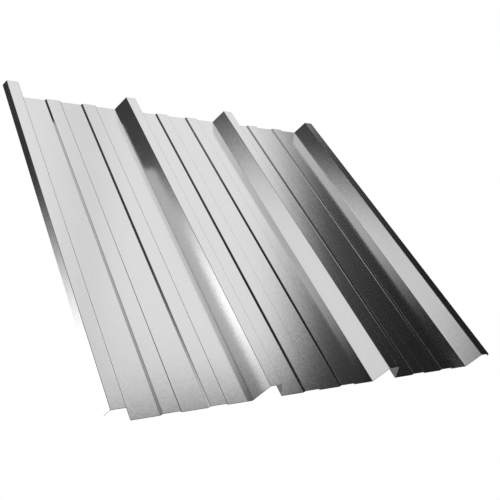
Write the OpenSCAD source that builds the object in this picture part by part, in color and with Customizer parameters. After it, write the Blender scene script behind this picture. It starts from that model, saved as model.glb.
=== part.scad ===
// Box-profile metal sheet: one length of coil strip, roll-formed into
// trapezoidal ribs with flat pans between them and two low swages in each pan.
// X runs across the ribs, Y along them, Z up. The sheet lies on its pans, with
// the middle of its outline on the origin and its undersides on Z = 0.
// Widths and heights are taken over the upper face of the sheet.

/* [Sheet] */
// Length of the sheet along the ribs
sheet_len = 1000; // [300:10:6000]
// Width one sheet covers, from the first rib's centre to the last one's
cover_w = 1000; // [700:10:1200]
// Flat pans between the ribs
pan_count = 3; // [2:1:4]
// Thickness of the steel
gauge = 0.75; // [0.4:0.05:1.2]

/* [Ribs] */
// Height of a rib above the pans
rib_h = 45; // [25:1:60]
// Width of a rib's flat crest
rib_crest_w = 29; // [15:1:45]
// Sideways run of a rib's sloping web, from the crest to the pan
web_run = 22; // [8:0.5:35]
// Inside radius of the bends at the crests and at the feet of the ribs
rib_bend_r = 0.3; // [0.1:0.1:4]

/* [Edge lips] */
// How far the left edge turns down from its crest
left_lip_drop = 15.5; // [8:0.5:22]
// How far the right edge turns down from its crest
right_lip_drop = 9; // [6:0.5:18]

/* [Swages] */
// Distance between the two swages of one pan, centre to centre
swage_gap = 101.5; // [70:0.5:150]
// Width of a swage's flat top
swage_top_w = 37; // [15:0.5:50]
// Sideways run of a swage's sloping flank
swage_flank_run = 3.7; // [2:0.1:12]
// Height of a swage above the pan
swage_h = 4.3; // [1.5:0.1:7]
// Inside radius of the bends of a swage
swage_bend_r = 0.3; // [0.1:0.1:2.5]

/* [Hidden] */
pitch = cover_w / pan_count;
rib_base_w = rib_crest_w + 2 * web_run;
swage_base_w = swage_top_w + 2 * swage_flank_run;
// Sideways reach of each lip, which keeps to the slope of the webs
left_lip_run = web_run * left_lip_drop / rib_h;
right_lip_run = web_run * right_lip_drop / rib_h;
// Where the first rib's centre stands for the outline to be centred on X = 0
first_rib_x = (left_lip_run - right_lip_run - cover_w) / 2;
pan_z = gauge;
crest_z = gauge + rib_h;
swage_z = gauge + swage_h;
// Short flats that stand in for each round bend
bend_steps = 6;

// Corners of the upper face, each [x, z, inside radius of its bend]
function crest(x, r) = [
    [x - rib_crest_w / 2, crest_z, r], [x + rib_crest_w / 2, crest_z, r]
];
function swage(x, r) = [
    [x - swage_base_w / 2, pan_z, r], [x - swage_top_w / 2, swage_z, r],
    [x + swage_top_w / 2, swage_z, r], [x + swage_base_w / 2, pan_z, r]
];
function pan(x) = concat(
    [[x - (pitch - rib_base_w) / 2, pan_z, rib_bend_r]],
    swage(x - swage_gap / 2, swage_bend_r),
    swage(x + swage_gap / 2, swage_bend_r),
    [[x + (pitch - rib_base_w) / 2, pan_z, rib_bend_r]]
);
function left_edge(x) = [x - rib_crest_w / 2 - left_lip_run, crest_z - left_lip_drop, 0];
function right_edge(x) = [x + rib_crest_w / 2 + right_lip_run, crest_z - right_lip_drop, 0];

corners = concat(
    [left_edge(first_rib_x)],
    crest(first_rib_x, rib_bend_r),
    [for (k = [1:pan_count]) each concat(
        pan(first_rib_x + (k - 0.5) * pitch),
        crest(first_rib_x + k * pitch, rib_bend_r)
    )],
    [right_edge(first_rib_x + cover_w)]
);
last = len(corners) - 1;

function xz(i) = [corners[i][0], corners[i][1]];
function along(i) = let (v = xz(i + 1) - xz(i)) v / norm(v);
function left_of(v) = [-v[1], v[0]];

// One bend's arc at corner i: drop 0 gives the upper face, drop 1 the underside
function bend(i, drop) = let (
    u = along(i - 1),
    v = along(i),
    turn = atan2(cross(u, v), u * v),
    side = sign(turn),
    r_up = corners[i][2] + (side < 0 ? gauge : 0),
    start = xz(i) - u * r_up * tan(abs(turn) / 2),
    centre = start + side * r_up * left_of(u),
    r = r_up + side * drop * gauge,
    spoke = -side * left_of(u)
) [for (k = [0:bend_steps]) let (a = turn * k / bend_steps)
    centre + r * [spoke[0] * cos(a) - spoke[1] * sin(a), spoke[0] * sin(a) + spoke[1] * cos(a)]];

function face(drop) = concat(
    [xz(0) - drop * gauge * left_of(along(0))],
    [for (i = [1:last - 1]) each bend(i, drop)],
    [xz(last) - drop * gauge * left_of(along(last - 1))]
);
upper = face(0);
under = face(1);
section = concat(upper, [for (i = [len(under) - 1:-1:0]) under[i]]);

// The whole sheet: its section pushed along Y
module profiled_sheet() {
    color("silver")
        translate([0, sheet_len / 2, 0])
            rotate([90, 0, 0])
                linear_extrude(height = sheet_len)
                    polygon(section);
}

profiled_sheet();
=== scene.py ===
import math

import bmesh
import bpy
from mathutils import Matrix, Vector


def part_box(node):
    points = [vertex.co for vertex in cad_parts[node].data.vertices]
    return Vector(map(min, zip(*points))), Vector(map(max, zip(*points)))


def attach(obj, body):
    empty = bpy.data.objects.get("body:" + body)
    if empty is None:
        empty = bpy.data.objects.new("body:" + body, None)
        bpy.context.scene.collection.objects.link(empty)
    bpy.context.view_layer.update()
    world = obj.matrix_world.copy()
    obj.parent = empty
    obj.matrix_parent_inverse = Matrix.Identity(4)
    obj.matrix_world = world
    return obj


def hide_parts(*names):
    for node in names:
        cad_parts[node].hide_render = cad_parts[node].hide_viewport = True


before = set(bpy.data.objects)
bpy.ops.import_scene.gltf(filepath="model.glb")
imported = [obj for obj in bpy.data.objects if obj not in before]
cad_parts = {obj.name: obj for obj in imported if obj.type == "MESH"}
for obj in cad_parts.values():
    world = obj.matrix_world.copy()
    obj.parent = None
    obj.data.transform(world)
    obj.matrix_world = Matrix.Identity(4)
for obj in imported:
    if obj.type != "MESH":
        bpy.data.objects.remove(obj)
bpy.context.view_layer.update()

# ---------------------------------------------------------------- the rolled strip
# One length of zinc-coated steel strip, 0.75 mm thick. A roll former sets four
# trapezoidal ribs, two low swages in each of the three flat pans between them, and
# a turned-down lip along both edges. The sheet is then sheared square at both ends.
gauge = 0.00075
pan_count = 3
rib_h, crest_w, web_run, rib_bend_r = 0.045, 0.029, 0.022, 0.0003
left_lip_drop, right_lip_drop = 0.0155, 0.009
swage_gap, swage_top_w, swage_flank_run = 0.1015, 0.037, 0.0037
swage_h, swage_bend_r = 0.0043, 0.0003

sheet_low, sheet_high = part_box("profiled_sheet")
left_lip_run = web_run * left_lip_drop / rib_h
right_lip_run = web_run * right_lip_drop / rib_h
first_rib_x = sheet_low[0] + left_lip_run + crest_w / 2
last_rib_x = sheet_high[0] - right_lip_run - crest_w / 2
pitch = (last_rib_x - first_rib_x) / pan_count
pan_z, crest_z, swage_z = gauge, gauge + rib_h, gauge + swage_h


def raised_corners(x, top_w, run, top_z, kind):
    """Foot, top, top and foot of a rib or swage on the upper face: x, z and whose bend it is."""
    half = top_w / 2
    return [
        (x - half - run, pan_z, kind), (x - half, top_z, kind),
        (x + half, top_z, kind), (x + half + run, pan_z, kind),
    ]


corners = []
for k in range(pan_count + 1):
    rib_x = first_rib_x + k * pitch
    corners += raised_corners(rib_x, crest_w, web_run, crest_z, "rib")
    if k < pan_count:
        for side in (-1, 1):
            swage_x = rib_x + pitch / 2 + side * swage_gap / 2
            corners += raised_corners(swage_x, swage_top_w, swage_flank_run, swage_z, "swage")
# the outer webs of the first and last rib stop short as the lips
corners[0] = (sheet_low[0], crest_z - left_lip_drop, "cut")
corners[-1] = (sheet_high[0], crest_z - right_lip_drop, "cut")

strip = bmesh.new()
bend_mark = strip.faces.layers.float.new("bend")
cut_line = [strip.verts.new((x, sheet_low[1], z)) for x, z, _ in corners]
for a, b in zip(cut_line, cut_line[1:]):
    strip.edges.new((a, b))
pulled = bmesh.ops.extrude_edge_only(strip, edges=strip.edges[:])["geom"]
bmesh.ops.translate(strip, vec=(0, sheet_high[1] - sheet_low[1], 0),
                    verts=[g for g in pulled if isinstance(g, bmesh.types.BMVert)])
strip.normal_update()
bmesh.ops.reverse_faces(strip, faces=[f for f in strip.faces if f.normal.z < 0])


def round_bends(kind, inside_r, upward, segments, coat_dulling_and_crease_shade):
    """Rounds at once the bends of every rib, or every swage, that turn upward, or else downward."""
    edges = []
    offset = 0
    for (x0, z0, _), (x1, z1, whose), (x2, z2, _) in zip(corners, corners[1:], corners[2:]):
        bend = math.atan2(z2 - z1, x2 - x1) - math.atan2(z1 - z0, x1 - x0)
        if whose != kind or (bend > 0) != upward:
            continue
        upper_r = inside_r if upward else inside_r + gauge
        offset = upper_r * math.tan(abs(bend) / 2)
        edges += [e for e in strip.edges
                  if all(abs(v.co.x - x1) + abs(v.co.z - z1) < 1e-6 for v in e.verts)]
    rounded = bmesh.ops.bevel(strip, geom=edges, offset=offset, offset_type="OFFSET", segments=segments,
                              profile=0.5, affect="EDGES", material=-1, clamp_overlap=True)
    for face in rounded["faces"]:
        face[bend_mark] = coat_dulling_and_crease_shade
        face.smooth = True


# the last value darkens and dulls a bend: the stretched coat, plus painted crease shade at a swage's
# feet
round_bends("rib", rib_bend_r, upward=True, segments=8, coat_dulling_and_crease_shade=1.0)
round_bends("swage", swage_bend_r, upward=True, segments=6, coat_dulling_and_crease_shade=1.75)
round_bends("rib", rib_bend_r, upward=False, segments=8, coat_dulling_and_crease_shade=1.0)
round_bends("swage", swage_bend_r, upward=False, segments=6, coat_dulling_and_crease_shade=1.0)

upper_faces = set(strip.faces)
cut_edges = [e for e in strip.edges if e.is_boundary]
bmesh.ops.solidify(strip, geom=strip.faces[:], thickness=gauge)
for edge in cut_edges:
    for face in edge.link_faces:
        if face not in upper_faces:
            face.material_index = 1
            face.smooth = False
            face[bend_mark] = 0.0

mesh = bpy.data.meshes.new("roofing_sheet")
strip.to_mesh(mesh)
strip.free()
sheet = bpy.data.objects.new("roofing_sheet", mesh)
bpy.context.scene.collection.objects.link(sheet)
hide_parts("profiled_sheet")
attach(sheet, "root")

# ---------------------------------------------------------------- its zinc coat
# Bright hot-dip zinc with a fine spangle, about 4 mm across, too faint to see at arm's
# length but enough to roughen a reflection. The rolls leave hair-fine streaks along
# the sheet. Every bend is drawn darker and duller for the stretched coat, and a swage's
# feet are drawn darker still as painted crease shade.
zinc_tone, zinc_rough = 0.60, 0.13
spangles_per_m, grains_per_m, streaks_per_m = 240.0, 1400.0, 650.0
web_spring, spring_from_z = 0.072, 0.005
bruise_from, bruise_full = 0.0014, 0.0004


class Wire:
    """One output socket of a node tree; sums on it add the nodes that work them out."""

    def __init__(self, tree, socket):
        self.tree, self.socket = tree, socket

    @classmethod
    def node(cls, tree, kind, settings=None, out=0, **inputs):
        """Adds a node: its settings first, then its sockets by name, or i0, i1, i2 by place."""
        made = tree.nodes.new(kind)
        for name, value in (settings or {}).items():
            setattr(made, name, value)
        for name, value in inputs.items():
            key = int(name[1:]) if name[0] == "i" and name[1:].isdigit() else name.replace("_", " ")
            if isinstance(value, Wire):
                tree.links.new(value.socket, made.inputs[key])
            else:
                made.inputs[key].default_value = value
        return cls(tree, made.outputs[out]) if made.outputs else made

    def math(self, operation, *others):
        sockets = {f"i{n}": other for n, other in enumerate((self,) + others)}
        return Wire.node(self.tree, "ShaderNodeMath", {"operation": operation}, **sockets)

    def vector(self, operation, *others):
        sockets = {f"i{n}": other for n, other in enumerate((self,) + others)}
        return Wire.node(self.tree, "ShaderNodeVectorMath", {"operation": operation}, **sockets)

    def __add__(self, other):
        return self.math("ADD", other)

    __radd__ = __add__

    def __mul__(self, other):
        return self.math("MULTIPLY", other)

    __rmul__ = __mul__

    def __sub__(self, other):
        return self.math("SUBTRACT", other)

    def __rsub__(self, other):
        return self * -1.0 + other

    def axis(self, name):
        """The X, Y or Z of a vector."""
        return Wire.node(self.tree, "ShaderNodeSeparateXYZ", out=name, Vector=self)

    def step(self, low, high):
        """0 below low, 1 above high and a smooth rise between."""
        return Wire.node(self.tree, "ShaderNodeMapRange", {"interpolation_type": "SMOOTHSTEP"},
                         i0=self, i1=low, i2=high)


zinc = bpy.data.materials.new("zinc_coated_steel")
zinc.use_nodes = True
tree = zinc.node_tree
shader = tree.nodes["Principled BSDF"]
shader.inputs["Metallic"].default_value = 1.0
place = Wire.node(tree, "ShaderNodeTexCoord", out="Object")
flat = Wire.node(tree, "ShaderNodeNewGeometry", out="Normal")
# the webs spring a little after the rolls, so they mirror a shade shallower than they slope
sideways = flat.axis("X")
on_web = (place.axis("Z") * (1 / spring_from_z)).math("MINIMUM", 1.0) * sideways * sideways
bow = web_spring * on_web * flat.axis("Z")
bowed = flat.vector("ADD", Wire.node(tree, "ShaderNodeCombineXYZ", X=0.0, Y=0.0, Z=bow))
bend = Wire.node(tree, "ShaderNodeAttribute", {"attribute_name": "bend"}, out="Fac")
spangle = Wire.node(tree, "ShaderNodeTexVoronoi", out="Color", Vector=place, Scale=spangles_per_m)
crystal = Wire.node(tree, "ShaderNodeTexVoronoi", out="Distance", Vector=place, Scale=spangles_per_m)
grain = Wire.node(tree, "ShaderNodeTexNoise", Vector=place, Scale=grains_per_m, Detail=2.0)
drift = Wire.node(tree, "ShaderNodeTexNoise", Vector=place, Scale=7.0, Detail=2.0)
streak = Wire.node(tree, "ShaderNodeTexNoise", Vector=place.vector("MULTIPLY", (1.0, 0.012, 1.0)),
                   Scale=streaks_per_m, Detail=3.0)
# the shear drags the last millimetre of the coat dark at both ends
from_middle = place.axis("Y").math("ABSOLUTE")
bruise = from_middle.step(sheet_high[1] - bruise_from, sheet_high[1] - bruise_full)
tone = zinc_tone + 0.03 * (streak - 0.5) + 0.02 * (drift - 0.5) + 0.03 * (crystal - 0.4)
# bends are drawn darker: the duller stretched coat, and at a swage's feet painted crease shade as well
tone = tone * (1 - 0.56 * bend) * (1 - 0.6 * bruise)
colour = Wire.node(tree, "ShaderNodeCombineColor", Red=tone, Green=tone, Blue=tone)
rough = zinc_rough + 0.03 * (grain - 0.5) + 0.03 * (drift - 0.5) + 0.04 * (streak - 0.5) + 0.50 * bend
tilted = spangle.vector("SUBTRACT", (0.5, 0.5, 0.5)).vector("MULTIPLY_ADD", (0.007, 0.007, 0.007), bowed)
relief = Wire.node(tree, "ShaderNodeBump", Strength=1.0, Distance=1.2e-6, Height=streak + 0.5 * grain,
                   Normal=tilted.vector("NORMALIZE"))
tree.links.new(colour.socket, shader.inputs["Base Color"])
tree.links.new(rough.socket, shader.inputs["Roughness"])
tree.links.new(relief.socket, shader.inputs["Normal"])
mesh.materials.append(zinc)

# ---------------------------------------------------------------- its sheared edges
# The blade leaves bare steel along both ends and both slit lips: darker and duller
# than the coat, with fine drag lines across the thickness.
bare_tone, bare_rough = 0.26, 0.42
bare = bpy.data.materials.new("sheared_edge")
bare.use_nodes = True
tree = bare.node_tree
shader = tree.nodes["Principled BSDF"]
shader.inputs["Metallic"].default_value = 1.0
place = Wire.node(tree, "ShaderNodeTexCoord", out="Object")
drag = Wire.node(tree, "ShaderNodeTexNoise", Vector=place.vector("MULTIPLY", (1.0, 1.0, 0.1)),
                 Scale=2500.0, Detail=3.0)
smear = Wire.node(tree, "ShaderNodeTexNoise", Vector=place, Scale=120.0, Detail=2.0)
tone = bare_tone + 0.15 * (drag - 0.5) + 0.15 * (smear - 0.5)
colour = Wire.node(tree, "ShaderNodeCombineColor", Red=tone, Green=tone * 0.99, Blue=tone * 0.97)
rough = bare_rough + 0.2 * (drag - 0.5)
relief = Wire.node(tree, "ShaderNodeBump", Strength=0.6, Distance=1e-5, Height=drag)
tree.links.new(colour.socket, shader.inputs["Base Color"])
tree.links.new(rough.socket, shader.inputs["Roughness"])
tree.links.new(relief.socket, shader.inputs["Normal"])
mesh.materials.append(bare)


# ---------------------------------------------------------------- the floor
# The sheet lies on a light table: plain, evenly white and without a shadow. A second
# patch, seen only in the metal, glows dimly as painted shade: it stands in for the shadowed
# gap under the sheet that the hollow sides of the ribs mirror.
def lay_floor(name, half_x, half_y, z, level):
    slab = bpy.data.meshes.new(name)
    ground = bmesh.new()
    bmesh.ops.create_grid(ground, x_segments=1, y_segments=1, size=1.0)
    bmesh.ops.scale(ground, vec=(half_x, half_y, 1.0), verts=ground.verts[:])
    bmesh.ops.translate(ground, vec=(0, 0, z), verts=ground.verts[:])
    ground.to_mesh(slab)
    ground.free()
    floor = bpy.data.objects.new(name, slab)
    bpy.context.scene.collection.objects.link(floor)
    panel = bpy.data.materials.new(name)
    panel.use_nodes = True
    tree = panel.node_tree
    tree.nodes.clear()
    glow = Wire.node(tree, "ShaderNodeEmission", Color=(level, level, level, 1.0))
    Wire.node(tree, "ShaderNodeOutputMaterial", Surface=glow)
    slab.materials.append(panel)
    return floor


light_table = lay_floor("light_table", half_x=40.0, half_y=40.0, z=-0.0002, level=1.0)
light_table.visible_glossy = False
# painted shade: a dim glowing patch, seen only in the metal, in place of the shadowed floor under the
# sheet
painted_gap_shade = lay_floor("painted_gap_shade", half_x=sheet_high[0] - 0.01, half_y=sheet_high[1] - 0.002,
                    z=-0.0001, level=0.22)
painted_gap_shade.visible_camera = painted_gap_shade.visible_diffuse = painted_gap_shade.visible_shadow = False


# ---------------------------------------------------------------- the light tent
# The metal mirrors a dark studio with two soft panels: a wide one high behind the
# sheet and a low one beside it. A like pair stands on the other side, and a small
# one hangs overhead. Directions are in degrees: turn from +X to +Y, rise from the floor.
def panel_pair(turn, rise):
    """How bright the high panel, the low panel and the lamp at its foot are that way."""
    # the high panel hangs aslant, fades out wide at its far side and has one seam
    near_edge = turn - 44.6 + 0.77 * (rise - 30.0)
    far_edge = turn - 74.0 - rise
    seam = (turn + 0.4 * rise - 80.5).math("ABSOLUTE")
    edge_foot = -5.4 - 0.8 * rise.step(31.0, 37.0)
    high = 1.12 * near_edge.step(edge_foot, 4.6) + 0.045 * near_edge.step(-18.0, -4.0)
    high = high * (1 - far_edge.step(-32.0, 32.0)) * (1 - (rise - 0.6 * turn).step(19.5, 33.0))
    high = high * rise.step(11.0, 25.5) * (1 - rise.step(58.0, 68.0))
    high = high * (1 - 0.22 * rise.step(44.0, 58.0)) * (1 - 0.14 * (1 - seam.step(0.0, 6.0)))
    # the low panel has a near edge cut round
    round_edge = (134.6 + 2.95 * (rise - 11.2).math("MAXIMUM", 0.0).math("SQRT")
                  + 0.87 * (rise - 18.5).math("MAXIMUM", 0.0))
    low = (turn - round_edge).step(-5.0, 5.0) * (1 - (turn + rise).step(174.0, 191.0))
    low = low * rise.step(5.0, 10.0) * (1 - rise.step(23.0, 34.0)) * (1 - 0.12 * rise.step(11.0, 18.0))
    lamp = (turn - 0.05 * rise - 141.7).step(-9.8, 8.8) * (1 - (turn + 0.5 * rise).step(149.0, 166.0))
    lamp = lamp * (1 - rise.step(5.0, 10.0))
    return high + 1.06 * low + 1.95 * lamp


tent_r = 30.0
tent_mesh = bpy.data.meshes.new("light_tent")
shell = bmesh.new()
bmesh.ops.create_icosphere(shell, subdivisions=4, radius=tent_r)
bmesh.ops.reverse_faces(shell, faces=shell.faces[:])
shell.to_mesh(tent_mesh)
shell.free()
tent = bpy.data.objects.new("light_tent", tent_mesh)
bpy.context.scene.collection.objects.link(tent)
tent.visible_camera = tent.visible_diffuse = tent.visible_shadow = False
tent.visible_transmission = tent.visible_volume_scatter = False

cloth = bpy.data.materials.new("light_tent")
cloth.use_nodes = True
cloth.cycles.emission_sampling = "NONE"
tree = cloth.node_tree
tree.nodes.clear()
spot = Wire.node(tree, "ShaderNodeTexCoord", out="Object")
turn = spot.axis("Y").math("ARCTAN2", spot.axis("X")) * math.degrees(1)
rise = (spot.axis("Z") * (1 / tent_r)).math("ARCSINE") * math.degrees(1)
# the overhead panel, and a weak fill from the front
overhead = rise.step(72.0, 79.0)
fill = (1 - turn.step(-30.0, 5.0)) * rise.step(5.0, 20.0)
# what spills from the panels onto the dark cloth between them and along its foot
veil = turn.step(85.0, 110.0) * (1 - turn.step(122.0, 142.0)) * rise.step(10.0, 20.0)
spill = turn.step(104.0, 120.0) * (1 - turn.step(124.5, 133.0)) * rise.step(22.0, 29.0)
spill = spill * (1 - rise.step(40.0, 56.0))
foot_glow = turn.step(60.0, 110.0) * rise.step(-12.0, -3.0) * (1 - rise.step(5.0, 25.0))
haze = 0.023 + 0.06 * veil + 0.31 * spill + 0.035 * foot_glow
level = panel_pair(turn, rise) + panel_pair(turn + 180.0, rise) + haze + 0.75 * overhead + 0.25 * fill
white = Wire.node(tree, "ShaderNodeCombineColor", Red=level, Green=level, Blue=level)
glow = Wire.node(tree, "ShaderNodeEmission", Color=white)
Wire.node(tree, "ShaderNodeOutputMaterial", Surface=glow)
tent_mesh.materials.append(cloth)

# the wall behind the light table is as white as the table, and the metal does not mirror it
world = bpy.data.worlds.new("room")
bpy.context.scene.world = world
world.use_nodes = True
world.node_tree.nodes["Background"].inputs["Color"].default_value = (1, 1, 1, 1)
world.cycles_visibility.glossy = False
bpy.context.scene.view_settings.view_transform = "Standard"

# ---------------------------------------------------------------- the camera
# Hand height at the left front corner, looking down across the sheet to its far
# right corner, with the head turned a little clockwise.
camera_data = bpy.data.cameras.new("camera")
camera_data.lens = 46.03
camera_data.sensor_width = 36.0
camera_data.shift_x, camera_data.shift_y = 0.0108, -0.0194
camera_data.clip_end = 200.0
camera = bpy.data.objects.new("camera", camera_data)
camera.location = (-0.9272, -1.0255, 0.9546)
camera.rotation_euler = (0.89058, -0.40774, -0.44450)
bpy.context.scene.collection.objects.link(camera)
bpy.context.scene.camera = camera
